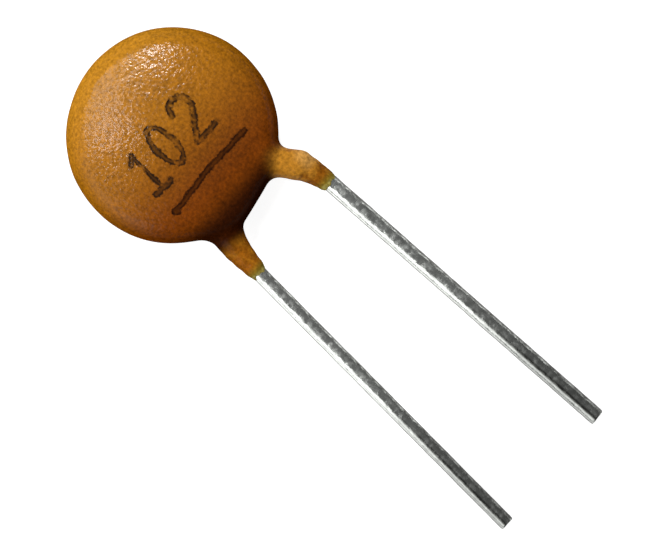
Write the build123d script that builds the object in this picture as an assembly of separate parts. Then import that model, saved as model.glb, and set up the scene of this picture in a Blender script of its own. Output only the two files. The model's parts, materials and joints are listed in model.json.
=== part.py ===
from build123d import *

import os
from math import acos, atan2, cos, degrees, hypot, radians, sin, tan

# Ceramic disc capacitor: a silvered ceramic disc between two wire leads, dipped in resin.
#
# Everything is first built in a device frame: the disc's centre at the origin, the leads
# along +X, and +Z out of the face that carries the print. The front lead is soldered to
# the +Z electrode and leaves on the +Y side. The back lead is soldered to the -Z electrode
# and leaves on the -Y side. The pieces are then turned together to the way the part lies
# on a flat surface, on the coat's underside and the two lead tips.
#
# Lengths are in millimetres and angles in degrees.

# Ceramic disc and its fired silver electrodes
ceramic_diameter = 7.0
ceramic_thickness = 0.5
ceramic_chamfer = 0.08
electrode_margin = 0.3
electrode_thickness = 0.03

# Wire leads. The pitch is between their axes at the middle of their free length, where they
# spread by the splay angle each. The pair's middle lies off the disc's centre, toward +Y.
wire_diameter = 0.65
bend_radius = 0.65
lead_pitch = 5.08
lead_splay = 2.0
pair_offset = 0.66
front_lead_length = 14.28
back_lead_length = 14.15

# Inside the coat a wire starts beyond the disc's centre and crosses the electrode. Past the
# edge of the ceramic it slopes to the disc's mid-plane, which it reaches just before its leg
# of the coat ends. The front wire turns parallel to the lead outside the coat's rim, and the
# back wire while it is still on the electrode.
tail_length = 1.2
slope_clearance = 0.25
slope_end_inset = 0.4
front_kink_past_rim = 0.22
back_kink_inset = 1.68

# Solder joints, with the film of solder between each wire and its electrode
solder_radius = 0.74
solder_run = 1.8
solder_film = 0.03

# Resin coat: its cover past the ceramic's rim and over the wires, and its rounded edge
rim_cover = 0.775
face_cover = 0.62
edge_radius = 1.25

# Legs of the coat, down each lead: a root inside the disc, a shoulder past the rim that
# leans toward the other leg and lifts toward the wire's face, and a thin end on the wire
front_leg_length = 1.65
back_leg_length = 2.08
leg_root_inset = 0.4
leg_root_height = 1.06
front_root_width = 0.82
back_root_width = 0.72
front_shoulder_radius = 0.66
back_shoulder_radius = 0.62
shoulder_past_rim = 0.33
front_web_lean = 0.27
back_web_lean = 0.09
front_shoulder_lift = 0.12
back_shoulder_lift = 0.14
leg_end_cover = 0.06
leg_fillet = 0.35

# Worked out from the sizes above
wire_radius = wire_diameter / 2
ceramic_radius = ceramic_diameter / 2
electrode_face = ceramic_thickness / 2 + electrode_thickness
wire_level = electrode_face + solder_film + wire_radius
coat_radius = ceramic_radius + rim_cover
coat_half = wire_level + wire_radius + face_cover
face_radius = ((coat_radius - edge_radius) ** 2 + coat_half**2 - edge_radius**2) / (
    2 * (coat_half - edge_radius)
)
front_leg_end = coat_radius + front_leg_length
back_leg_end = coat_radius + back_leg_length
front_reach = front_leg_end + front_lead_length
back_reach = back_leg_end + back_lead_length
pitch_station = (front_leg_end + back_leg_end + front_reach + back_reach) / 4
slope_start = ceramic_radius + slope_clearance


def lead_point(side, x, z=0.0):
    """A point on a lead's straight axis: side is +1 for the front lead, -1 for the back."""
    spread = lead_pitch / 2 + (x - pitch_station) * tan(radians(lead_splay))
    return Vector(x, pair_offset + side * spread, z)


def lead_direction(side):
    """Unit vector along a lead's axis, toward its tip."""
    return (lead_point(side, 1) - lead_point(side, 0)).normalized()


def outward(point, distance):
    """The point at a distance from the disc's axis, on the ray through the given point."""
    flat = Vector(point.X, point.Y, 0)
    return flat.normalized() * distance


def front_route():
    """Across the front electrode, turned and sloped down inside the leg, then the lead."""
    kink = lead_point(1, coat_radius + front_kink_past_rim)
    slope_top = outward(kink, slope_start)
    slope_foot = lead_point(1, front_leg_end - slope_end_inset)
    before, after = (kink - slope_top).length, (slope_foot - kink).length
    on_face = Vector(0, 0, wire_level)
    return [
        outward(kink, -tail_length) + on_face,
        slope_top + on_face,
        kink + on_face * (after / (before + after)),
        slope_foot,
        lead_point(1, front_reach),
    ]


def back_route():
    """Across the back electrode, turned parallel to the lead, sloped up, then the lead."""
    kink = lead_point(-1, coat_radius - back_kink_inset)
    edge = (ceramic_radius**2 - kink.Y**2) ** 0.5
    on_face = Vector(0, 0, -wire_level)
    return [
        outward(kink, -tail_length) + on_face,
        kink + on_face,
        lead_point(-1, edge + slope_clearance) + on_face,
        lead_point(-1, back_leg_end - slope_end_inset),
        lead_point(-1, back_reach),
    ]


def lead_wire(route):
    """Round wire along a route of straight runs, with every corner bent to one radius."""
    path = FilletPolyline(*route, radius=bend_radius)
    section = Plane(origin=path @ 0, z_dir=path % 0) * Circle(wire_radius)
    return sweep(section, path=path)


def ceramic():
    body = Cylinder(ceramic_radius, ceramic_thickness)
    return chamfer(body.edges().filter_by(GeomType.CIRCLE), ceramic_chamfer)


def electrode(side):
    """Silver film on one face of the ceramic: side is +1 for the front, -1 for the back."""
    film = Cylinder(ceramic_radius - electrode_margin, electrode_thickness)
    return Pos(0, 0, side * (electrode_face - electrode_thickness / 2)) * film


def solder_joint(side, route, wire):
    """A mound of solder on the electrode, drawn out along the wire that it holds."""
    along = route[1] - route[0]
    heading = degrees(atan2(along.Y, along.X))
    length = solder_run + 2 * solder_radius
    upper_half = Pos(0, solder_radius) * Rectangle(length, 2 * solder_radius)
    outline = SlotOverall(length, 2 * solder_radius) & upper_half
    mound = Rot(0, 0, heading) * revolve(outline, axis=Axis.X)
    below = Pos(0, 0, -side * length / 2) * Box(2 * length, 2 * length, length)
    return Pos(0, 0, side * electrode_face) * (mound - below) - wire


def coat_lens():
    """The dipped disc: two domed faces that run into a round rim without a corner."""
    rim_centre = coat_radius - edge_radius
    lean = atan2(rim_centre, face_radius - coat_half)
    touch = Vector(rim_centre + edge_radius * sin(lean), edge_radius * cos(lean))
    low_touch = Vector(touch.X, -touch.Y)
    outline = [
        RadiusArc((0, coat_half), touch, face_radius),
        ThreePointArc(touch, (coat_radius, 0), low_touch),
        RadiusArc(low_touch, (0, -coat_half), face_radius),
        Line((0, -coat_half), (0, coat_half)),
    ]
    return revolve(Plane.XZ * make_face(outline), axis=Axis.Z)


def coat_leg(side, slope, root_width, shoulder_radius, lean, lift, leg_end):
    """Resin that ran down a lead: thick at the shoulder and thin where it ends.

    The root section is deep enough to cover the wire where it slopes down past the ceramic.
    """
    slope_top, next_point = (Vector(point.X, point.Y, 0) for point in slope)
    inward = (slope_top - next_point).normalized()
    root = slope_top + inward * leg_root_inset
    shoulder = lead_point(side, coat_radius + shoulder_past_rim)
    shoulder += Vector(0, -side * lean, side * lift)
    along = lead_direction(side)
    upward = Vector(0, 0, 1)
    root_plane = Plane(origin=root, x_dir=upward, z_dir=inward * -1)
    shoulder_plane = Plane(origin=shoulder, x_dir=upward, z_dir=along)
    end_plane = Plane(origin=lead_point(side, leg_end), x_dir=upward, z_dir=along)
    sections = [
        root_plane * Ellipse(leg_root_height, root_width),
        shoulder_plane * Circle(shoulder_radius),
        end_plane * Circle(wire_radius + leg_end_cover),
    ]
    return loft(sections)


def coat_body(front_path, back_path):
    """The outer shape of the dip coat, with the legs filleted into the disc's rim."""
    lens = coat_lens()
    front_leg = coat_leg(
        side=1,
        slope=front_path[1:3],
        root_width=front_root_width,
        shoulder_radius=front_shoulder_radius,
        lean=front_web_lean,
        lift=front_shoulder_lift,
        leg_end=front_leg_end,
    )
    back_leg = coat_leg(
        side=-1,
        slope=back_path[2:4],
        root_width=back_root_width,
        shoulder_radius=back_shoulder_radius,
        lean=back_web_lean,
        lift=back_shoulder_lift,
        leg_end=back_leg_end,
    )
    body = lens + front_leg + back_leg
    joins = new_edges(lens, front_leg, back_leg, combined=body)
    return fillet(joins, leg_fillet)


def resin_coat(front_path, back_path, inner_pieces):
    """One dip coat over the disc and both legs, hollow only where a piece lies inside it."""
    coat = coat_body(front_path, back_path)
    for piece in inner_pieces:
        coat -= piece
    return coat


def resting_plane():
    """The plane on which the part lies, seen from the device frame, with its normal up.

    It touches the ball that the back face is cut from, and the lower edge of both lead tips.
    """
    ball_centre = Vector(0, 0, face_radius - coat_half)
    front_tip = lead_point(1, front_reach, -wire_radius)
    back_tip = lead_point(-1, back_reach, -wire_radius)
    across = (front_tip - back_tip).normalized()
    toward_disc = (Vector(-1, 0, 0) + across * across.X).normalized()
    upright = across.cross(toward_disc)
    reach = ball_centre - back_tip
    rise = reach.dot(upright)
    run = reach.dot(toward_disc)
    tilt = atan2(run, rise) - acos(face_radius / hypot(run, rise))
    up = upright * cos(tilt) + toward_disc * sin(tilt)
    forward = Vector(1, 0, 0) - up * up.X
    return Plane(origin=back_tip, x_dir=forward, z_dir=up)


def device_pieces():
    """Every piece in the device frame, by its node's name."""
    front_path = front_route()
    back_path = back_route()
    pieces = {
        "ceramic_disc": ceramic(),
        "front_electrode": electrode(1),
        "back_electrode": electrode(-1),
        "front_lead_wire": lead_wire(front_path),
        "back_lead_wire": lead_wire(back_path),
    }
    pieces["front_solder_joint"] = solder_joint(1, front_path, pieces["front_lead_wire"])
    pieces["back_solder_joint"] = solder_joint(-1, back_path, pieces["back_lead_wire"])
    pieces["resin_coat"] = resin_coat(front_path, back_path, list(pieces.values()))
    return pieces


def laid_placement(pieces):
    """Lays the pieces on the floor, with the origin under the middle of their box."""
    lay = resting_plane().location.inverse()
    laid = Compound([lay * piece for piece in pieces.values()])
    box = laid.bounding_box()
    return Pos(-box.center().X, -box.center().Y, -box.min.Z) * lay


def main():
    pieces = device_pieces()
    placement = laid_placement(pieces)
    os.makedirs("parts", exist_ok=True)
    for name, piece in pieces.items():
        export_step(placement * piece, f"parts/{name}.step")


if __name__ == "__main__":
    main()
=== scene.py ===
import json
from math import cos, radians, sin, tau

import bpy
import numpy as np
from mathutils import Matrix, Vector


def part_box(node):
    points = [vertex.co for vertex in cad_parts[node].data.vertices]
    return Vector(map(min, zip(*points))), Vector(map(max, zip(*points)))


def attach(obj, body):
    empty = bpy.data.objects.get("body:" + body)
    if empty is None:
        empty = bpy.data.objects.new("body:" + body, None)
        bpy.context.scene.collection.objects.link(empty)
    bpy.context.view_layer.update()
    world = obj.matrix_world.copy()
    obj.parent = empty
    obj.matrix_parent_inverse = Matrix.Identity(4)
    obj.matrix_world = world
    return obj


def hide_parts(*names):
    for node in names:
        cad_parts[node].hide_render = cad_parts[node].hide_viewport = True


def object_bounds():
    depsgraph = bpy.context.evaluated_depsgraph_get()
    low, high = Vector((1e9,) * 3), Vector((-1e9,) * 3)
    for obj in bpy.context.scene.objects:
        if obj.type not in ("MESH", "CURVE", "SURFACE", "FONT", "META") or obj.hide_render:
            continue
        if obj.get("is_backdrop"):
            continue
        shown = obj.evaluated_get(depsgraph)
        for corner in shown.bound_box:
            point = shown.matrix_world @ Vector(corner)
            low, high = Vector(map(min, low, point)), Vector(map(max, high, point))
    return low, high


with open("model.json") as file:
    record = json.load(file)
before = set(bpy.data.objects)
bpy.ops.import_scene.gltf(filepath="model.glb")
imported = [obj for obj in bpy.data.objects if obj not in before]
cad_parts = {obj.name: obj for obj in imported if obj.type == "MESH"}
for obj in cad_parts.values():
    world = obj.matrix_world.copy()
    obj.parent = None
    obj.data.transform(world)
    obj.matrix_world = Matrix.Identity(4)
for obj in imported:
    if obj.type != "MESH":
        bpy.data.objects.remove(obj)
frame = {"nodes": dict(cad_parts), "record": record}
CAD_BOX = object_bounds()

# A ceramic disc capacitor: the dipped resin coat with its two legs and its printed mark,
# and the two tinned wire leads. Shapes are worked out in millimetres in the device frame:
# the disc's centre at the origin, the leads along +X, and the print on the +Z face.

MM = 0.001

# Dipped disc, how widely the corners between its parts are filled, and its mesh's step
COAT_RADIUS = 4.275
COAT_HALF = 1.58
COAT_EDGE = 1.1
LEG_BLEND = 0.45
STATION_BLEND = 0.12
WIRE_BLEND = 0.15
MESH_STEP = 0.055

# How far the disc is out of round, in shares of its radius: all round, toward the leads, and
# twice round as an oval; then the web that swells between the legs
WIDER_ALL_ROUND = 0.002
WIDER_AT_LEADS = 0.0105
OVAL = 0.008
OVAL_HEADING = radians(-60)
WEB = 0.066
WEB_HEADING = radians(-14)
WEB_REACH = radians(13.5)

# Low swells over the coat: height, pitch and seed. Ragged ends of its legs: depth and count
SWELLS = ((0.022, 3.2, 4), (0.010, 1.1, 9))
RAGGED_ENDS = ((0.04, 3), (0.03, 7))

# Wires inside the coat: the radius and level of the wire, its resin cover's two radii down
# the slope, and where its route turns, as in the CAD but for the front kink's small shift
# toward the other lead
WIRE_RADIUS = 0.325
WIRE_LEVEL = 0.635
COVERED_RADII = (WIRE_RADIUS + 0.04, WIRE_RADIUS + 0.02)
CERAMIC_RADIUS = 3.5
TAIL_LENGTH = 1.2
SLOPE_CLEARANCE = 0.25
SLOPE_END_INSET = 0.4
FRONT_KINK_PAST_RIM = 0.22
FRONT_KINK_SHIFT = 0.09
BACK_KINK_INSET = 1.68
BEND_RADIUS = 0.65

# Wires as they look: thickness over the tinning, seeds of the lumps, sides round, the pitch
# of the rings, lumps by height, spread round the wire and pitch, and the burr at the cut
FRONT_THICKNESS = 0.70
BACK_THICKNESS = 0.63
FRONT_SEED = 11
BACK_SEED = 23
WIRE_SIDES = 28
RING_PITCH = 0.07
LUMPS = ((0.008, 0.5, 1.9), (0.006, 0.4, 0.55))
BURR_HEIGHT = 0.012
BURR_LENGTH = 0.06

# Legs: how far each station lies past the disc's centre, its offset from the lead's axis
# toward the other leg, its height over the mid-plane and its radius
FRONT_LEG = (
    (3.30, 1.10, 0.24, 0.63),
    (4.45, 0.37, 0.14, 0.585),
    (5.00, 0.18, 0.09, 0.485),
    (5.40, 0.11, 0.04, 0.415),
    (5.80, 0.05, 0.01, 0.37),
    (5.98, 0.02, 0.00, 0.342),
)
BACK_LEG = (
    (3.20, 0.28, -0.26, 0.68),
    (4.63, 0.12, -0.14, 0.58),
    (5.04, 0.05, -0.12, 0.52),
    (5.52, 0.02, -0.06, 0.455),
    (6.00, 0.01, -0.01, 0.385),
    (6.42, -0.01, 0.00, 0.322),
)

# Printed mark: its height runs along -X and it reads along +Y
DIGIT_HALF_HEIGHT = 0.95
STROKE = 0.145
BAR_STROKE = 0.12

# How deep the relief of each finish is, in metres
RESIN_RELIEF = 0.013 * MM
WIRE_RELIEF = 0.014 * MM
INNER_RELIEF = 0.006 * MM

# Lamps: name, heading and height in degrees, distance, width and height in metres, watts
LAMPS = (
    ("key_softbox", -172, 50, 0.26, 0.14, 0.10, 0.26),
    ("side_softbox", -90, 32, 0.24, 0.26, 0.18, 0.19),
    ("left_glint", -137, 66, 0.24, 0.035, 0.035, 0.09),
    ("top_glint", 145, 53, 0.24, 0.025, 0.025, 0.32),
)
GLOW_FROM = (-0.35, -0.93, -0.1)
PAPER_GLOW = 0.9
FLOOR_HALF = 0.6

# Camera: its aim past the middle of the part, its distance, how much wider than the part's
# length it sees, and its turn
AIM_SHIFT = (0.5 * MM, 0.26 * MM)
AIM_HEIGHT = 1.2 * MM
CAMERA_DISTANCE = 0.30
VIEW_MARGIN = 1.076
CAMERA_TURN = radians(43.3)
SENSOR_WIDTH = 36.0


# ---------------------------------------------------------------- device frame


def mount(name):
    """A lead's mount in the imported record: its middle, its direction and its length."""
    for row in frame["record"]["mounts"]:
        if row["name"] == name:
            return row
    raise KeyError(name)


def device_frame():
    """The matrix from the device frame, in metres, to the part as it lies."""
    front = Vector(mount("front_lead")["axis"]).normalized()
    back = Vector(mount("back_lead")["axis"]).normalized()
    along = (front + back).normalized()
    spread = front - back
    across = (spread - along * spread.dot(along)).normalized()
    low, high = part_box("ceramic_disc")
    turn = Matrix((along, across, along.cross(across))).transposed().to_4x4()
    return Matrix.Translation((low + high) / 2) @ turn


DEVICE = device_frame()


def in_device(point):
    """A point of the part as it lies, in millimetres of the device frame."""
    return np.array(DEVICE.inverted() @ Vector(point)) / MM


class Lead:
    """The straight free length of one lead: its axis, and where it starts and ends."""

    def __init__(self, name, side):
        row = mount(name)
        self.side = side
        self.middle = in_device(row["pos_m"])
        self.direction = np.array(DEVICE.to_3x3().transposed() @ Vector(row["axis"]))
        self.half = row["dims"]["length_mm"] / 2
        self.start = self.middle - self.direction * self.half
        self.tip = self.middle + self.direction * self.half

    def at(self, x):
        """The point of the axis that lies x past the disc's centre."""
        return self.middle + self.direction * (x - self.middle[0]) / self.direction[0]


FRONT = Lead("front_lead", 1)
BACK = Lead("back_lead", -1)


# ---------------------------------------------------------------- shape of the coat


def waves(x, y, z, pitch, seed):
    """A gentle random swell between -1 and 1, from crossing sine waves."""
    rng = np.random.default_rng(seed)
    total = np.zeros(np.broadcast(x, y, z).shape)
    count = 7
    for _ in range(count):
        heading = rng.normal(size=3)
        heading *= tau / pitch / np.linalg.norm(heading) * rng.uniform(0.7, 1.4)
        total += np.sin(x * heading[0] + y * heading[1] + z * heading[2] + rng.uniform(0, tau))
    return total / count


def smooth_union(first, second, blend):
    """Two distances joined, with the corner between them filled to a soft fillet."""
    near = np.maximum(blend - np.abs(first - second), 0) / blend
    return np.minimum(first, second) - near**2 * blend / 4


def smooth_step(value, low, high):
    """Zero below the low value, one above the high one, and an S-curve between them."""
    part = np.clip((value - low) / (high - low), 0, 1)
    return part * part * (3 - 2 * part)


def tapered_rod(x, y, z, start, end, start_radius, end_radius):
    """Distance to a rod with round ends that tapers from one radius to the other."""
    run = np.subtract(end, start)
    share = (x - start[0]) * run[0] + (y - start[1]) * run[1] + (z - start[2]) * run[2]
    share = np.clip(share / run.dot(run), 0, 1)
    gap = (x - start[0] - share * run[0]) ** 2
    gap = gap + (y - start[1] - share * run[1]) ** 2
    gap = gap + (z - start[2] - share * run[2]) ** 2
    return np.sqrt(gap) - start_radius - share * (end_radius - start_radius)


def dipped_disc(x, y, z):
    """Distance to the disc: two domed faces with a round edge, a little out of round."""
    heading = np.arctan2(y, x)
    unround = WIDER_ALL_ROUND + WIDER_AT_LEADS * np.cos(heading)
    unround += OVAL * np.cos(2 * (heading - OVAL_HEADING))
    unround += WEB * np.exp(-(((heading - WEB_HEADING) / WEB_REACH) ** 2))
    r = np.hypot(x, y) / (1 + unround)
    z = np.abs(z)
    # The round edge rolls over a thinner lens of radius a and half-height b, cut from a ball
    a = COAT_RADIUS - COAT_EDGE
    b = COAT_HALF - COAT_EDGE
    ball = (a * a + b * b) / (2 * b)
    drop = ball - b
    at_edge = (r - a) * drop > z * a
    return np.where(at_edge, np.hypot(r - a, z), np.hypot(r, z + drop) - ball) - COAT_EDGE


def leg_points(lead, stations):
    """The middle and radius of each station down a leg of the coat."""
    for x, offset, height, radius in stations:
        centre = lead.at(x) + np.array((0, -lead.side * offset, height))
        yield centre, radius


def leg_shape(x, y, z, lead, stations):
    """Distance to one leg of the coat."""
    points = list(leg_points(lead, stations))
    whole = None
    for (start, start_radius), (end, end_radius) in zip(points, points[1:]):
        rod = tapered_rod(x, y, z, start, end, start_radius, end_radius)
        whole = rod if whole is None else smooth_union(whole, rod, STATION_BLEND)
    return whole


def inner_route(lead, leg_end):
    """The wire inside the coat: over its electrode, then sloping down to the mid-plane."""
    face = np.array((0, 0, lead.side * WIRE_LEVEL))
    foot = lead.at(leg_end - SLOPE_END_INSET)
    if lead.side > 0:
        kink = lead.at(COAT_RADIUS + FRONT_KINK_PAST_RIM) - np.array((0, FRONT_KINK_SHIFT, 0))
    else:
        kink = lead.at(COAT_RADIUS - BACK_KINK_INSET)
    outward = np.array((kink[0], kink[1], 0))
    outward /= np.linalg.norm(outward)
    tail = face - TAIL_LENGTH * outward
    if lead.side > 0:
        top = outward * (CERAMIC_RADIUS + SLOPE_CLEARANCE)
        before = np.linalg.norm(top - kink)
        after = np.linalg.norm(foot - kink)
        return [tail, top + face, kink + face * after / (before + after), foot]
    edge = (CERAMIC_RADIUS**2 - kink[1] ** 2) ** 0.5
    return [tail, kink + face, lead.at(edge + SLOPE_CLEARANCE) + face, foot]


def coat_shape(x, y, z):
    """Distance to the whole coat, less than zero inside it.

    The swells fade out low on the back, which the part lies on, and toward the legs' ends.
    """
    whole = dipped_disc(x, y, z)
    (deep, few), (shallow, many) = RAGGED_ENDS
    for lead, stations in ((FRONT, FRONT_LEG), (BACK, BACK_LEG)):
        leg = leg_shape(x, y, z, lead, stations)
        leg_end = stations[-1][0]
        route = inner_route(lead, leg_end)
        for start, end in zip(route[1:], route[2:]):
            rod = tapered_rod(x, y, z, start, end, *COVERED_RADII)
            leg = smooth_union(leg, rod, WIRE_BLEND)
        around = np.arctan2(z, y - lead.at(leg_end)[1])
        ragged = deep * np.sin(few * around + lead.side) + shallow * np.sin(many * around + 2)
        leg = np.maximum(leg, x - leg_end - ragged)
        whole = smooth_union(whole, leg, LEG_BLEND)
    swell = sum(height * waves(x, y, z, pitch, seed) for height, pitch, seed in SWELLS)
    return whole + swell * smooth_step(z, -1.2, -0.3) * smooth_step(6.0 - x, 0, 1)


def corner_shift(block, shift):
    """A block's values at one corner of every cell."""
    return block[tuple(slice(s, n - 1 + s) for s, n in zip(shift, block.shape))]


def skin_over(shape, low, high, step):
    """A closed mesh over the zero level of a distance: its points and four-sided faces.

    Every grid cell that the level crosses gets one point, at the middle of the crossings on
    its twelve edges. Every grid edge that crosses the level gets a face of four such points.
    """
    axes = [np.arange(a, b + step, step) for a, b in zip(low, high)]
    grid = np.meshgrid(*axes, indexing="ij")
    field = shape(*grid)
    inside = field < 0
    corners = [(i, j, k) for i in (0, 1) for j in (0, 1) for k in (0, 1)]
    filled = sum(corner_shift(inside, c).astype(int) for c in corners)
    mixed = (filled > 0) & (filled < 8)
    cells = np.argwhere(mixed)
    number = -np.ones(mixed.shape, int)
    number[mixed] = np.arange(len(cells))

    total = np.zeros((len(cells), 3))
    count = np.zeros(len(cells))
    for first in corners:
        for axis in range(3):
            if first[axis]:
                continue
            second = tuple(c + (n == axis) for n, c in enumerate(first))
            start = corner_shift(field, first)[mixed]
            end = corner_shift(field, second)[mixed]
            crossed = (start < 0) != (end < 0)
            share = np.where(crossed, start / np.where(crossed, start - end, 1), 0)
            point = np.array(first, float) + np.eye(3)[axis] * share[:, None]
            total += point * crossed[:, None]
            count += crossed
    points = (cells + total / count[:, None]) * step + np.array([a[0] for a in axes])

    faces = []
    for axis in range(3):
        one, two = [n for n in range(3) if n != axis]
        lower = [slice(0, n) for n in field.shape]
        upper = [slice(0, n) for n in field.shape]
        lower[axis] = slice(0, field.shape[axis] - 1)
        upper[axis] = slice(1, field.shape[axis])
        change = inside[tuple(lower)].astype(int) - inside[tuple(upper)].astype(int)
        for sign in (1, -1):
            edges = np.argwhere(change == sign)
            back_one = np.eye(3, dtype=int)[one]
            back_two = np.eye(3, dtype=int)[two]
            ring = [edges - back_one - back_two, edges - back_two, edges, edges - back_one]
            quad = np.stack([number[tuple(cell.T)] for cell in ring], 1)
            forward = sign * (1 if axis != 1 else -1) > 0
            faces.append(quad if forward else quad[:, ::-1])
    return points, np.concatenate(faces)


def settle(shape, points, reach):
    """Moves the mesh's points the last part of the way onto the shape."""
    for _ in range(2):
        x, y, z = points.T
        near = 0.01
        slope = np.stack(
            [
                shape(x + near, y, z) - shape(x - near, y, z),
                shape(x, y + near, z) - shape(x, y - near, z),
                shape(x, y, z + near) - shape(x, y, z - near),
            ],
            1,
        )
        slope /= np.linalg.norm(slope, axis=1)[:, None] + 1e-9
        points = points - slope * np.clip(shape(x, y, z), -reach, reach)[:, None]
    return points


# ---------------------------------------------------------------- making the pieces


def add_piece(name, points, faces, material, replaced):
    """A smooth mesh piece from device-frame points in millimetres, riding on the part."""
    mesh = bpy.data.meshes.new(name)
    placed = np.array(points) * MM
    turn = np.array(DEVICE.to_3x3())
    placed = placed @ turn.T + np.array(DEVICE.translation)
    mesh.from_pydata(placed.tolist(), [], [list(map(int, face)) for face in faces])
    mesh.validate()
    mesh.polygons.foreach_set("use_smooth", [True] * len(mesh.polygons))
    mesh.update()
    piece = bpy.data.objects.new(name, mesh)
    bpy.context.scene.collection.objects.link(piece)
    mesh.materials.append(material)
    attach(piece, "root")
    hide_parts(replaced)
    return piece


def add_values(piece, name, values):
    """Stores one number for each point of a piece, for its material to read."""
    layer = piece.data.attributes.new(name, "FLOAT", "POINT")
    layer.data.foreach_set("value", np.asarray(values, np.float32))


def make_coat(material):
    """The dipped coat, with masks for its legs and for the thin resin where they end."""
    gap, end_gap = 0.3, 0.4
    low = (-COAT_RADIUS - gap, -COAT_RADIUS - gap, -COAT_HALF - gap)
    high = (BACK_LEG[-1][0] + end_gap, COAT_RADIUS + gap, COAT_HALF + gap)
    points, faces = skin_over(coat_shape, low, high, MESH_STEP)
    points = settle(coat_shape, points, MESH_STEP / 2)
    coat = add_piece("dipped_coat", points, faces, material, "resin_coat")
    x, y = points[:, 0], points[:, 1]
    between_legs = 0.6
    past = np.where(y > between_legs, x - FRONT_LEG[-1][0], x - BACK_LEG[-1][0])
    add_values(coat, "thin_resin", smooth_step(past, -0.55, -0.12))
    add_values(coat, "on_leg", smooth_step(dipped_disc(*points.T), 0.03, 0.4))


def rounded_route(corners, bend, pitch):
    """Points along straight runs whose corners are bent to one radius."""
    corners = [np.array(corner, float) for corner in corners]
    path = [corners[0]]
    for before, corner, after in zip(corners, corners[1:], corners[2:]):
        into = (corner - before) / np.linalg.norm(corner - before)
        out = (after - corner) / np.linalg.norm(after - corner)
        turn = np.arccos(np.clip(into.dot(out), -1, 1))
        if turn < 1e-4:
            continue
        back = bend * np.tan(turn / 2)
        bulge = out - into * into.dot(out)
        bulge /= np.linalg.norm(bulge)
        start = corner - into * back
        steps = max(3, int(bend * turn / pitch) + 1)
        for step in range(steps + 1):
            angle = turn * step / steps
            path.append(start + into * bend * sin(angle) + bulge * bend * (1 - cos(angle)))
    path.append(corners[-1])
    path = np.array(path)
    run = np.concatenate([[0], np.cumsum(np.linalg.norm(np.diff(path, axis=0), axis=1))])
    even = np.linspace(0, run[-1], int(run[-1] / pitch) + 1)
    return np.stack([np.interp(even, run, path[:, n]) for n in range(3)], 1), even


def make_lead(name, lead, leg_end, thickness, seed, material, replaced):
    """A tinned wire: lumpy along its free length, with a cut tip and a small burr."""
    sides = WIRE_SIDES
    corners = inner_route(lead, leg_end) + [lead.tip]
    path, run = rounded_route(corners, BEND_RADIUS, RING_PITCH)
    free = np.clip((path[:, 0] - lead.start[0]) / (lead.tip[0] - lead.start[0]), 0, 1)
    ahead = np.gradient(path, axis=0)
    ahead /= np.linalg.norm(ahead, axis=1)[:, None]
    side = np.cross((0, 0, 1), ahead)
    side /= np.linalg.norm(side, axis=1)[:, None]
    upward = np.cross(ahead, side)

    # Long and short lumps of tin, and the burr that the cut pushed out
    angle = np.arange(sides) / sides * tau
    round_y, round_z = np.cos(angle), np.sin(angle)
    along = run[:, None]
    lumps = sum(
        height * waves(along, spread * round_y, spread * round_z, pitch, seed + n)
        for n, (height, spread, pitch) in enumerate(LUMPS)
    )
    radius = thickness / 2 + lumps * smooth_step(free, 0, 0.04)[:, None]
    left = run[-1] - run
    burr = BURR_HEIGHT * np.sin(angle * 2 + seed)
    radius = radius + np.exp(-((left / BURR_LENGTH) ** 2))[:, None] * burr

    rings = path[:, None, :]
    rings = rings + side[:, None, :] * (radius * round_y)[:, :, None]
    rings = rings + upward[:, None, :] * (radius * round_z)[:, :, None]

    # The cut end: a little uneven, with a bevelled rim and a sunk middle
    uneven = 0.02 * np.sin(angle + seed) + 0.01 * np.sin(3 * angle)
    rings[-1] += ahead[-1] * uneven[:, None]
    caps = [rings[0].mean(0), rings[-1].mean(0) - ahead[-1] * 0.015]
    tip_rim = rings[-1] * 0.93 + caps[1] * 0.07 + ahead[-1] * 0.012
    points = np.concatenate([rings.reshape(-1, 3), tip_rim, caps])

    count = len(path) + 1
    faces = []
    for ring in range(count - 1):
        for n in range(sides):
            m = (n + 1) % sides
            low, high = ring * sides, (ring + 1) * sides
            faces.append((low + n, low + m, high + m, high + n))
    last = (count - 1) * sides
    for n in range(sides):
        m = (n + 1) % sides
        faces.append((m, n, count * sides))
        faces.append((last + n, last + m, count * sides + 1))
    wire = add_piece(name, points, faces, material, replaced)
    # The tip's rim and its cap lie at the tip, and the other cap at the wire's far end
    distance = np.repeat(left, sides).tolist() + [0.0] * (sides + 2)
    distance[-2] = run[-1]
    add_values(wire, "from_tip", distance)
    flank = np.tile(round_y, len(path)).tolist() + round_y.tolist() + [0.0, 0.0]
    add_values(wire, "flank", flank)


# ---------------------------------------------------------------- node helpers


def add_node(tree, kind, inputs=None, **settings):
    """A shader node, with its settings, and a link or a value for each named input."""
    made = tree.nodes.new("ShaderNode" + kind)
    for name, value in settings.items():
        setattr(made, name, value)
    for name, value in (inputs or {}).items():
        if isinstance(value, bpy.types.NodeSocket):
            tree.links.new(value, made.inputs[name])
        else:
            made.inputs[name].default_value = value
    return made


def calculate(tree, operation, *values, clamp=False):
    """The result of one sum on numbers or number sockets."""
    sums = add_node(tree, "Math", dict(enumerate(values)), operation=operation, use_clamp=clamp)
    return sums.outputs[0]


def product(tree, value, *others):
    """Several masks multiplied together."""
    for other in others:
        value = calculate(tree, "MULTIPLY", value, other)
    return value


def vector_sum(tree, operation, *values):
    """The result of one sum on vectors: a number for a length or a product, or a vector."""
    sums = add_node(tree, "VectorMath", dict(enumerate(values)), operation=operation)
    is_number = operation in {"LENGTH", "DOT_PRODUCT", "DISTANCE"}
    return sums.outputs["Value" if is_number else "Vector"]


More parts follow.
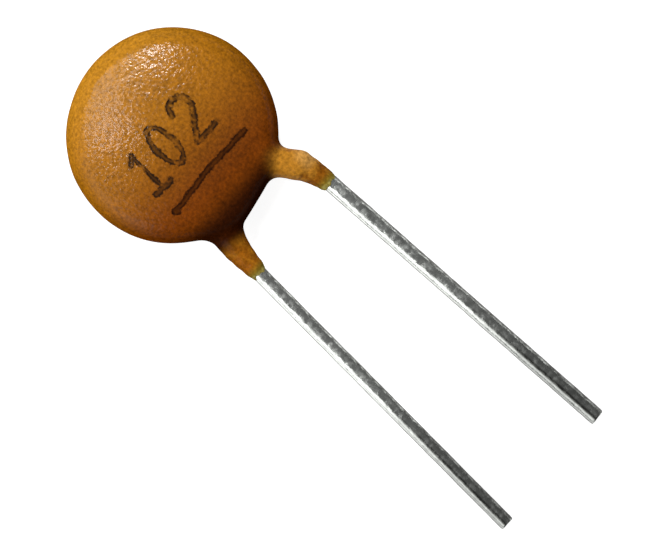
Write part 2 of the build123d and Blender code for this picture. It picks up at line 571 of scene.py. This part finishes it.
def remap(tree, value, low, high, new_low=0.0, new_high=1.0):
    """An S-curve from one new value to the other, as the value goes from low to high."""
    sockets = {"Value": value, "From Min": low, "From Max": high}
    sockets.update({"To Min": new_low, "To Max": new_high})
    return add_node(tree, "MapRange", sockets, interpolation_type="SMOOTHSTEP").outputs[0]


def noise(tree, point, scale, detail=3.0, rough=0.5):
    """Soft random noise about a half."""
    sockets = {"Vector": point, "Scale": scale, "Detail": detail, "Roughness": rough}
    return add_node(tree, "TexNoise", sockets).outputs[0]


def mix_colours(tree, share, first, second, blend="MIX"):
    """The first colour, with a share of the second mixed or multiplied in."""
    made = add_node(tree, "Mix", data_type="RGBA", blend_type=blend)
    for name, value in ((0, share), (6, first), (7, second)):
        if isinstance(value, bpy.types.NodeSocket):
            tree.links.new(value, made.inputs[name])
        else:
            made.inputs[name].default_value = value
    return made.outputs[2]


def colour(red, green, blue):
    """An opaque colour, from linear red, green and blue."""
    return (red, green, blue, 1.0)


def new_group(name, inputs, outputs):
    """A shader node group with its sockets: the group, what goes in and what comes out."""
    group = bpy.data.node_groups.new(name, "ShaderNodeTree")
    for label, kind, value in inputs:
        socket = group.interface.new_socket(
            name=label, in_out="INPUT", socket_type="NodeSocket" + kind
        )
        if value is not None:
            socket.default_value = value
    for label, kind in outputs:
        group.interface.new_socket(
            name=label, in_out="OUTPUT", socket_type="NodeSocket" + kind
        )
    entry = group.nodes.new("NodeGroupInput")
    leave = group.nodes.new("NodeGroupOutput")
    return group, entry.outputs, leave.inputs


def place_group(tree, group, **inputs):
    """Places a node group with a link or a value for each named input: its outputs."""
    made = tree.nodes.new("ShaderNodeGroup")
    made.node_tree = group
    for name, value in inputs.items():
        socket = made.inputs[name.replace("_", " ").capitalize()]
        if isinstance(value, bpy.types.NodeSocket):
            tree.links.new(value, socket)
        else:
            socket.default_value = value
    return made.outputs


def add_relief(tree, shader, height, depth, strength=1.0):
    """Gives the shader a bump of the given depth, and returns the bump's normal."""
    sockets = {"Height": height, "Strength": strength, "Distance": depth}
    normal = add_node(tree, "Bump", sockets).outputs[0]
    tree.links.new(normal, shader.inputs["Normal"])
    return normal


def new_material(name):
    """An empty node material: its tree, its Principled shader and the material."""
    material = bpy.data.materials.new(name)
    material.use_nodes = True
    tree = material.node_tree
    tree.nodes.clear()
    shader = add_node(tree, "BsdfPrincipled")
    add_node(tree, "OutputMaterial", {"Surface": shader.outputs[0]})
    return material, tree, shader


def device_point_group():
    """The surface point in millimetres of the device frame."""
    group, _, out = new_group("Device point", [], [("Point", "Vector")])
    place = add_node(group, "TexCoord").outputs["Object"]
    offset = vector_sum(group, "SUBTRACT", place, tuple(DEVICE.translation))
    turn = DEVICE.to_3x3().transposed()
    parts = {}
    for letter, row in zip("XYZ", turn):
        parts[letter] = vector_sum(group, "DOT_PRODUCT", offset, tuple(row / MM))
    point = add_node(group, "CombineXYZ", parts).outputs[0]
    group.links.new(point, out["Point"])
    return group


def mottle_group():
    """Cloudy patches over fine specks, about one, to multiply into a colour."""
    sockets = [
        ("Point", "Vector", None),
        ("Cloud scale", "Float", 1.0),
        ("Cloud amount", "Float", 0.2),
        ("Speck scale", "Float", 6.0),
        ("Speck amount", "Float", 0.2),
    ]
    group, given, out = new_group("Mottle", sockets, [("Level", "Float")])
    clouds = noise(group, given["Point"], given["Cloud scale"], 3.0)
    specks = noise(group, given["Point"], given["Speck scale"], 2.0, 0.6)
    clouds = calculate(group, "SUBTRACT", clouds, 0.5)
    specks = calculate(group, "SUBTRACT", specks, 0.5)
    level = calculate(group, "MULTIPLY_ADD", clouds, given["Cloud amount"], 1.0)
    level = calculate(group, "MULTIPLY_ADD", specks, given["Speck amount"], level)
    group.links.new(level, out["Level"])
    return group


def pebbled_height(tree, point, cell_scale):
    """The height of a pebbled surface: rounded cells, fine grain and low swells."""
    cells = add_node(
        tree,
        "TexVoronoi",
        {"Vector": point, "Scale": cell_scale, "Smoothness": 0.35},
        feature="SMOOTH_F1",
    ).outputs["Distance"]
    grain = noise(tree, point, calculate(tree, "MULTIPLY", cell_scale, 1.9), 1.0)
    swells = noise(tree, point, calculate(tree, "MULTIPLY", cell_scale, 0.3), 1.0)
    height = calculate(tree, "MULTIPLY", cells, -1.0)
    height = calculate(tree, "MULTIPLY_ADD", grain, 0.8, height)
    return calculate(tree, "MULTIPLY_ADD", swells, 1.2, height)


def pebble_group():
    """The pebbled height, for the wire and the inner pieces."""
    sockets = [("Point", "Vector", None), ("Cell scale", "Float", 6.0)]
    group, given, out = new_group("Pebble", sockets, [("Height", "Float")])
    height = pebbled_height(group, given["Point"], given["Cell scale"])
    group.links.new(height, out["Height"])
    return group


def blister_height(tree, point):
    """Scattered low domes, where a bubble came up in the dip."""
    sparse = add_node(tree, "TexVoronoi", {"Vector": point, "Scale": 1.15}).outputs
    dome = remap(tree, sparse["Distance"], 0.12, 0.03)
    chance = add_node(tree, "SeparateColor", {0: sparse["Color"]}).outputs[0]
    return calculate(tree, "MULTIPLY", dome, calculate(tree, "GREATER_THAN", chance, 0.55))


# ---------------------------------------------------------------- printed mark


def digit_place(middle, right, up):
    """A point of a digit, in millimetres right and up from its middle, on the disc's face."""
    return (middle[0] - up, middle[1] + right, 0.0)


def stroke_distance(tree, point, start, end):
    """The distance from the point to one straight stroke."""
    run = Vector(end) - Vector(start)
    offset = vector_sum(tree, "SUBTRACT", point, tuple(start))
    share = vector_sum(tree, "DOT_PRODUCT", offset, tuple(run / run.length_squared))
    share = calculate(tree, "ADD", share, 0.0, clamp=True)
    on_line = add_node(tree, "VectorMath", {0: tuple(run), 3: share}, operation="SCALE")
    return vector_sum(tree, "DISTANCE", offset, on_line.outputs["Vector"])


def ring_distance(tree, point, middle, half_up, half_right):
    """The distance from the point to an oval ring."""
    offset = vector_sum(tree, "SUBTRACT", point, tuple(middle))
    scaled = vector_sum(tree, "DIVIDE", offset, (half_up, half_right, 1.0))
    reach = vector_sum(tree, "LENGTH", offset)
    share = vector_sum(tree, "LENGTH", scaled)
    edge = calculate(tree, "DIVIDE", reach, share)
    gap = calculate(tree, "SUBTRACT", reach, edge)
    return calculate(tree, "ABSOLUTE", gap)


def arc_points(middle, radius, start, end, steps):
    """Corners of a curved stroke, in digit millimetres, by angle from the right-hand side."""
    for step in range(steps + 1):
        angle = radians(start + (end - start) * step / steps)
        yield (middle[0] + radius * cos(angle), middle[1] + radius * sin(angle))


def mark_group():
    """The stamped mark: a plain number over a bar, in patchy ink with darker outlines."""
    outputs = [("Number", "Float"), ("Bar", "Float")]
    group, given, out = new_group("Stamped mark", [("Point", "Vector", None)], outputs)
    flat = vector_sum(group, "MULTIPLY", given["Point"], (1.0, 1.0, 0.0))
    wander = add_node(group, "TexNoise", {"Vector": flat, "Scale": 3.0}).outputs["Color"]
    wander = vector_sum(group, "SUBTRACT", wander, (0.5, 0.5, 0.5))
    flat = vector_sum(group, "ADD", flat, vector_sum(group, "MULTIPLY", wander, (0.16, 0.16, 0)))

    # The middle of each digit in the device frame, then strokes in millimetres right and up
    # from it, with how much thinner than the rest each one is
    h = DIGIT_HALF_HEIGHT
    one, nought, two = (0.27, -1.74), (0.05, -0.50, 0.0), (-0.05, 1.0)
    bowl = list(arc_points((0.0, 0.47), 0.47, 175, -25, 5))
    strokes = [(one, (-0.42, -0.9), (0.4, -0.9), 0.0)]
    strokes.append((one, (-0.02, h - 0.05), (-0.26, h - 0.3), 0.02))
    strokes.append((one, (-0.02, -0.8), (-0.02, h - 0.05), 0.045))
    strokes += [(two, a, b, 0.0) for a, b in zip(bowl, bowl[1:])]
    strokes.append((two, bowl[-1], (-0.5, -h), 0.01))
    strokes.append((two, (-0.5, -h), (0.52, -h), 0.0))
    nearest = ring_distance(group, flat, nought, h - 0.02, 0.40)
    for middle, start, end, thinner in strokes:
        first = digit_place(middle, *start)
        second = digit_place(middle, *end)
        gap = stroke_distance(group, flat, first, second)
        if thinner:
            gap = calculate(group, "ADD", gap, thinner)
        nearest = calculate(group, "MINIMUM", nearest, gap)

    bar_top, bar_low = (1.95, 2.1, 0.0), (2.19, -2.1, 0.0)
    bar_middle = (1.95, -0.02, 0.0)
    bar = stroke_distance(group, flat, bar_top, bar_middle)
    bar = calculate(group, "MINIMUM", bar, stroke_distance(group, flat, bar_middle, bar_low))
    blob = vector_sum(group, "DISTANCE", flat, bar_low)
    bar = calculate(group, "MINIMUM", bar, calculate(group, "SUBTRACT", blob, 0.06))

    face = add_node(group, "SeparateXYZ", {0: given["Point"]}).outputs["Z"]
    front = remap(group, face, 0.2, 0.4)
    fine = noise(group, given["Point"], 9.0, 2.0)
    patch = noise(group, given["Point"], 2.6, 3.0, 0.6)
    for distance, half, label, weakest in (
        (nearest, STROKE, "Number", 0.35),
        (bar, BAR_STROKE, "Bar", 0.8),
    ):
        # The fine noise averages a half, so the body's edge is set out by about as much as
        # the fraying takes off
        frayed = calculate(group, "MULTIPLY_ADD", fine, 0.18, distance)
        body = remap(group, frayed, half + 0.125, half + 0.06)
        outline = remap(group, distance, half * 0.1, half * 0.75, 0.72, 1.0)
        wear = remap(group, patch, 0.38, 0.54, weakest, 1.0)
        group.links.new(product(group, body, outline, wear, front), out[label])
    return group


# ---------------------------------------------------------------- materials

# Tones of the resin and its ink, then of the wire, as linear red, green and blue
CARAMEL = colour(0.325, 0.121, 0.005)
# Painted light and shade on the disc: a lit pale far edge, a shaded red-brown toward the leads and
# painted shadow at the web
PAINTED_SHADE_BROWN = colour(0.160, 0.035, 0.0013)
PAINTED_LIT_EDGE = colour(0.40, 0.170, 0.012)
PAINTED_WEB_SHADE = colour(0.030, 0.006, 0.0007)
# The front leg's paler resin is a painted highlight
PAINTED_LIT_FRONT_RESIN = colour(0.46, 0.192, 0.018)
BACK_RESIN = colour(0.37, 0.138, 0.008)
RED_PATCH = colour(0.24, 0.075, 0.004)
# A painted highlight along the top of the front leg's neck
PAINTED_CREST_HIGHLIGHT = colour(0.57, 0.29, 0.07)
OLIVE = colour(0.20, 0.135, 0.014)
PALE_FRINGE = colour(0.42, 0.37, 0.11)
NUMBER_INK = colour(0.020, 0.009, 0.004)
BAR_INK = colour(0.020, 0.005, 0.0015)

BRIGHT_TIN = colour(0.64, 0.66, 0.63)
# Painted dark reflection for the wire's +Y flank
PAINTED_DARK_FLANK = colour(0.07, 0.07, 0.064)
# Painted shade for a stripe of the wire's bright side near its tip
PAINTED_TIP_SHADE = colour(0.10, 0.10, 0.09)
# Painted dark line for the wire's -Y rim
PAINTED_RIM_LINE = colour(0.15, 0.15, 0.14)


def disc_colour(tree, place):
    """Caramel, painted paler on the lit far edge, darker and redder toward the leads, with painted
    shadow at the web.
    """
    # Painted light and shade: paler toward the lamps, darker and redder toward the leads, painted
    # shadow at the web
    base = mix_colours(tree, remap(tree, place["X"], -1.6, 2.8), CARAMEL, PAINTED_SHADE_BROWN)
    base = mix_colours(tree, remap(tree, place["X"], -4.3, -1.0), PAINTED_LIT_EDGE, base)
    return mix_colours(tree, remap(tree, place["X"], 2.7, 3.9), base, PAINTED_WEB_SHADE)


def leg_colour(tree, place, point):
    """Resin run down a lead: painted paler on the front leg as a highlight, in redder patches
    toward its end.
    """
    # The front leg is painted paler as a highlight
    base = mix_colours(tree, remap(tree, place["Y"], -0.5, 1.5), BACK_RESIN, PAINTED_LIT_FRONT_RESIN)
    patches = noise(tree, point, 2.2, 2.0)
    patches = calculate(tree, "MULTIPLY_ADD", remap(tree, place["X"], 4.6, 5.4), 0.3, patches)
    return mix_colours(tree, remap(tree, patches, 0.5, 0.85), base, RED_PATCH)


def resin_gloss(tree, place, leg, ink):
    """The glossy skin: on both faces and on top of the legs, less over ink and the web."""
    skin = remap(tree, place["Z"], 0.55, 1.4)
    skin = calculate(tree, "MAXIMUM", skin, remap(tree, place["Z"], -0.55, -1.4))
    leg_top = calculate(tree, "MULTIPLY", leg, remap(tree, place["Z"], 0.15, 0.55, 0.0, 0.55))
    skin = calculate(tree, "MAXIMUM", skin, leg_top)
    inked = calculate(tree, "MAXIMUM", ink["Number"], ink["Bar"])
    dulled = remap(tree, inked, 0.0, 1.0, 1.0, 0.35)
    web = remap(tree, place["X"], 1.6, 3.4, 1.0, 0.4)
    return product(tree, skin, dulled, web)


def dipped_resin(device_point, mottle, mark):
    """Brown phenolic dip: caramel on the disc, painted darker and redder toward the leads as
    shade, olive where thin.
    """
    material, tree, shader = new_material("dipped_resin")
    point = place_group(tree, device_point)["Point"]
    place = add_node(tree, "SeparateXYZ", {0: point}).outputs

    # The legs' own colour starts further out on the back leg than on the front one
    # so the web's painted shadow between the legs also darkens the back leg's root
    leg = add_node(tree, "Attribute", attribute_name="on_leg").outputs["Fac"]
    leg_start = remap(tree, place["Y"], -0.5, 1.5, 0.8, -0.9)
    along = calculate(tree, "SUBTRACT", place["X"], leg_start)
    run_down = calculate(tree, "MULTIPLY", leg, remap(tree, along, 3.6, 4.6))
    base = mix_colours(tree, run_down, disc_colour(tree, place), leg_colour(tree, place, point))
    # Painted highlight: a pale patch on the top of the front leg's neck
    crest_highlight = product(
        tree,
        remap(tree, place["X"], 3.9, 4.3),
        remap(tree, place["X"], 5.1, 4.7),
        remap(tree, place["Y"], 2.45, 2.95),
        remap(tree, place["Z"], -0.1, 0.2, 0.0, 0.8),
    )
    base = mix_colours(tree, crest_highlight, base, PAINTED_CREST_HIGHLIGHT)

    # Thin resin at the legs' ends, then its ragged pale fringe
    thin = add_node(tree, "Attribute", attribute_name="thin_resin").outputs["Fac"]
    base = mix_colours(tree, thin, base, OLIVE)
    fringe = calculate(tree, "MULTIPLY_ADD", noise(tree, point, 3.5, 2.0), 0.3, thin)
    base = mix_colours(tree, remap(tree, fringe, 1.05, 1.25, 0.0, 0.75), base, PALE_FRINGE)

    level = place_group(
        tree, mottle, point=point, cloud_scale=0.55, cloud_amount=0.5,
        speck_scale=7.5, speck_amount=1.6,
    )["Level"]
    base = mix_colours(tree, 1.0, base, level, "MULTIPLY")
    ink = place_group(tree, mark, point=point)
    base = mix_colours(tree, ink["Number"], base, NUMBER_INK)
    base = mix_colours(tree, ink["Bar"], base, BAR_INK)
    tree.links.new(base, shader.inputs["Base Color"])
    shader.inputs["Roughness"].default_value = 0.6
    shader.inputs["Specular IOR Level"].default_value = 0.0
    tree.links.new(resin_gloss(tree, place, leg, ink), shader.inputs["Coat Weight"])
    shader.inputs["Coat Roughness"].default_value = 0.2
    shader.inputs["Coat IOR"].default_value = 1.4

    height = pebbled_height(tree, point, 6.5)
    height = calculate(tree, "ADD", height, blister_height(tree, point))
    normal = add_relief(tree, shader, height, RESIN_RELIEF)
    tree.links.new(normal, shader.inputs["Coat Normal"])
    return material


def tinned_wire(device_point, mottle, pebble):
    """Hot-tinned wire: bright, dulled in patches, darker toward the tip; painted dark reflection
    on one flank, painted shade near the tip and a painted dark rim line.
    """
    material, tree, shader = new_material("tinned_wire")
    point = place_group(tree, device_point)["Point"]
    level = place_group(
        tree, mottle, point=point, cloud_scale=1.3, cloud_amount=0.5,
        speck_scale=5.0, speck_amount=0.6,
    )["Level"]
    flank = add_node(tree, "Attribute", attribute_name="flank").outputs["Fac"]
    blotch = noise(tree, point, 3.5, 3.0, 0.6)
    from_tip = add_node(tree, "Attribute", attribute_name="from_tip").outputs["Fac"]
    # Painted dark reflection: the +Y flank is darkened, its edge wandering with the blotches
    edge = calculate(tree, "MULTIPLY_ADD", calculate(tree, "SUBTRACT", blotch, 0.5), 0.6, flank)
    base = mix_colours(tree, 1.0, BRIGHT_TIN, level, "MULTIPLY")
    base = mix_colours(tree, remap(tree, edge, 0.55, 0.9), base, PAINTED_DARK_FLANK)
    # Painted shade: a dark streak inside the bright -Y side near the tip, narrowing its highlight
    tip_shade = product(
        tree,
        remap(tree, flank, -0.5, -0.35),
        remap(tree, flank, 0.05, -0.15),
        remap(tree, from_tip, 8.0, 3.0, 0.0, 0.8),
    )
    base = mix_colours(tree, tip_shade, base, PAINTED_TIP_SHADE)
    # Painted reflection: a dark line along the rim of the -Y flank
    base = mix_colours(tree, remap(tree, flank, -0.84, -0.94), base, PAINTED_RIM_LINE)
    # Darker toward the tip and a little brighter toward the coat
    tip_level = remap(tree, from_tip, 2.0, 9.0, 0.58, 1.15)
    base = mix_colours(tree, 1.0, base, tip_level, "MULTIPLY")
    tree.links.new(base, shader.inputs["Base Color"])
    tree.links.new(remap(tree, blotch, 0.35, 0.65, 0.18, 0.34), shader.inputs["Roughness"])
    height = place_group(tree, pebble, point=point, cell_scale=4.0)["Height"]
    add_relief(tree, shader, height, WIRE_RELIEF)
    shader.inputs["Metallic"].default_value = 1.0
    return material


def inner_finish(name, tone, metallic, rough, cell_scale, device_point, mottle, pebble):
    """A finish for a piece inside the coat: fired ceramic, silver film or solder."""
    material, tree, shader = new_material(name)
    point = place_group(tree, device_point)["Point"]
    level = place_group(
        tree, mottle, point=point, cloud_scale=1.0, cloud_amount=0.25,
        speck_scale=9.0, speck_amount=0.3,
    )["Level"]
    base = mix_colours(tree, 1.0, tone, level, "MULTIPLY")
    tree.links.new(base, shader.inputs["Base Color"])
    spread = remap(tree, noise(tree, point, 4.0), 0.3, 0.7, rough - 0.08, rough + 0.08)
    tree.links.new(spread, shader.inputs["Roughness"])
    height = place_group(tree, pebble, point=point, cell_scale=cell_scale)["Height"]
    add_relief(tree, shader, height, INNER_RELIEF, 0.6)
    shader.inputs["Metallic"].default_value = metallic
    return material


def bench_paper():
    """The white sheet under the part. It keeps a soft shadow, and glows where it is seen."""
    material, tree, shader = new_material("bench_paper")
    point = add_node(tree, "TexCoord").outputs["Object"]
    fibre = noise(tree, point, 900.0, 3.0)
    tint = remap(tree, fibre, 0.3, 0.7, 0.42, 0.44)
    tree.links.new(tint, shader.inputs["Base Color"])
    shader.inputs["Roughness"].default_value = 0.9
    shader.inputs["Specular IOR Level"].default_value = 0.0
    rays = add_node(tree, "LightPath").outputs
    seen = calculate(tree, "MAXIMUM", rays["Is Camera Ray"], rays["Is Glossy Ray"])
    seen = calculate(tree, "MAXIMUM", seen, rays["Is Transmission Ray"])
    glow = add_node(tree, "Emission", {"Color": colour(1, 1, 1)})
    tree.links.new(calculate(tree, "MULTIPLY", seen, PAPER_GLOW), glow.inputs["Strength"])
    both = add_node(tree, "AddShader", {0: shader.outputs[0], 1: glow.outputs[0]})
    surface = tree.nodes["Material Output"].inputs["Surface"]
    tree.links.new(both.outputs[0], surface)
    return material


# ---------------------------------------------------------------- studio


def add_floor(material):
    """A flat sheet under the part."""
    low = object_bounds()[0]
    half = FLOOR_HALF
    corners = [(-half, -half), (half, -half), (half, half), (-half, half)]
    mesh = bpy.data.meshes.new("floor")
    mesh.from_pydata([(x, y, min(low.z, 0.0)) for x, y in corners], [], [(0, 1, 2, 3)])
    mesh.materials.append(material)
    floor = bpy.data.objects.new("floor", mesh)
    bpy.context.scene.collection.objects.link(floor)
    floor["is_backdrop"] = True


def add_softbox(name, heading, height, distance, width, tall, power):
    """A rectangular lamp that faces the part, by its heading round it and its height."""
    lamp = bpy.data.lights.new(name, "AREA")
    lamp.shape = "RECTANGLE"
    lamp.size = width
    lamp.size_y = tall
    lamp.energy = power
    softbox = bpy.data.objects.new(name, lamp)
    bpy.context.scene.collection.objects.link(softbox)
    flat = distance * cos(radians(height))
    place = Vector((flat * cos(radians(heading)), flat * sin(radians(heading)), 0))
    place.z = distance * sin(radians(height))
    softbox.location = place
    softbox.rotation_euler = place.to_track_quat("Z", "Y").to_euler()


def light_room():
    """A soft glow, stronger from one side, and the lamps."""
    world = bpy.data.worlds.new("studio")
    bpy.context.scene.world = world
    world.use_nodes = True
    tree = world.node_tree
    back = tree.nodes["Background"]
    direction = add_node(tree, "TexCoord").outputs["Generated"]
    side = vector_sum(tree, "DOT_PRODUCT", direction, GLOW_FROM)
    glow = remap(tree, side, 0.2, 0.95, 0.14, 0.65)
    tree.links.new(glow, back.inputs["Strength"])
    back.inputs["Color"].default_value = colour(1, 1, 1)
    for lamp in LAMPS:
        add_softbox(*lamp)


def add_camera():
    """Straight down on the part, turned so that the leads run to the lower right."""
    low, high = CAD_BOX
    middle = (low + high) / 2
    aim = Vector((middle.x + AIM_SHIFT[0], middle.y + AIM_SHIFT[1], AIM_HEIGHT))
    width = (high.x - low.x) * VIEW_MARGIN
    data = bpy.data.cameras.new("camera")
    data.sensor_width = SENSOR_WIDTH
    data.lens = SENSOR_WIDTH * CAMERA_DISTANCE / width
    data.clip_start = 0.01
    data.clip_end = 5.0
    camera = bpy.data.objects.new("camera", data)
    bpy.context.scene.collection.objects.link(camera)
    camera.location = aim + Vector((0, 0, CAMERA_DISTANCE))
    camera.rotation_euler = (0, 0, CAMERA_TURN)
    bpy.context.scene.camera = camera


def finish_inner_pieces(device_point, mottle, pebble):
    """Gives the CAD pieces inside the coat their own finishes."""
    tools = (device_point, mottle, pebble)
    ceramic = inner_finish("fired_ceramic", colour(0.55, 0.45, 0.33), 0.0, 0.6, 8.0, *tools)
    silver = inner_finish("silver_film", colour(0.78, 0.76, 0.72), 1.0, 0.35, 10.0, *tools)
    solder = inner_finish("soft_solder", colour(0.62, 0.62, 0.60), 1.0, 0.3, 3.0, *tools)
    finishes = {
        "ceramic_disc": ceramic,
        "front_electrode": silver,
        "back_electrode": silver,
        "front_solder_joint": solder,
        "back_solder_joint": solder,
    }
    for name, finish in finishes.items():
        slots = frame["nodes"][name].material_slots
        if not slots:
            frame["nodes"][name].data.materials.append(finish)
        for slot in slots:
            slot.material = finish


def main():
    """Builds the pieces, their finishes, the floor, the lights and the camera."""
    bpy.context.scene.view_settings.view_transform = "Standard"
    device_point = device_point_group()
    mottle = mottle_group()
    pebble = pebble_group()
    mark = mark_group()
    make_coat(dipped_resin(device_point, mottle, mark))
    wire = tinned_wire(device_point, mottle, pebble)
    front_end, back_end = FRONT_LEG[-1][0], BACK_LEG[-1][0]
    make_lead("front_lead", FRONT, front_end, FRONT_THICKNESS, FRONT_SEED, wire, "front_lead_wire")
    make_lead("back_lead", BACK, back_end, BACK_THICKNESS, BACK_SEED, wire, "back_lead_wire")
    finish_inner_pieces(device_point, mottle, pebble)
    add_floor(bench_paper())
    light_room()
    add_camera()


main()
